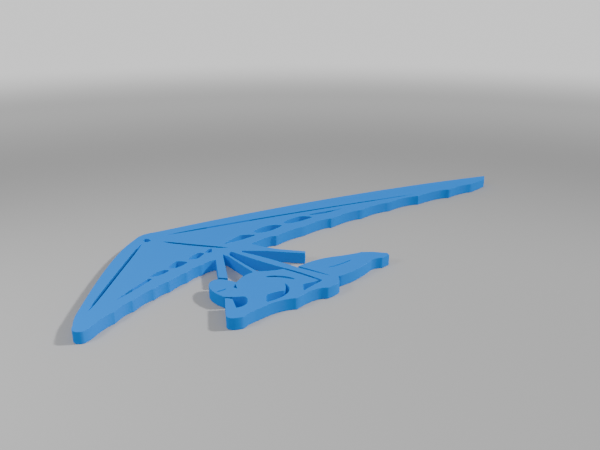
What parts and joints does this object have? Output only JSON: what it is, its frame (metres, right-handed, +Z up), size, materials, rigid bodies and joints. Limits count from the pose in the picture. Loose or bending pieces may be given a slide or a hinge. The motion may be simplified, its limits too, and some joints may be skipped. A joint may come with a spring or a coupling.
{
  "type": "flat hang glider model",
  "caption": "Flat plastic silhouette of a hang glider with a pilot in a harness, built from butted pieces of one thickness, lying on its underside.",
  "frame": {"origin": "middle of the bounding box on the underside, where the plate lies", "axes": "+X along the wing span towards the long wing's tip, +Y from the pilot towards the nose of the wing, +Z up through the thickness"},
  "size_m": [0.15, 0.056, 0.003],
  "materials": {
    "blue_plastic": "satin sky-blue printed plastic, smooth flat faces with fine tool lines, crisp edges"
  },
  "bodies": {
    "root": {"nose_plate": "blue_plastic", "left_leading_edge": "blue_plastic", "left_sail": "blue_plastic", "left_trailing_band": "blue_plastic", "left_tip": "blue_plastic", "keel_hub": "blue_plastic", "right_leading_edge": "blue_plastic", "right_sail": "blue_plastic", "right_trailing_band": "blue_plastic", "right_tip": "blue_plastic", "front_bar": "blue_plastic", "rear_bar": "blue_plastic", "hang_strap": "blue_plastic", "keel_tail": "blue_plastic", "helmet": "blue_plastic", "forearm": "blue_plastic", "hand": "blue_plastic", "torso": "blue_plastic", "harness_back": "blue_plastic", "harness_belly": "blue_plastic", "leg_pod": "blue_plastic"}
  },
  "joints": []
}
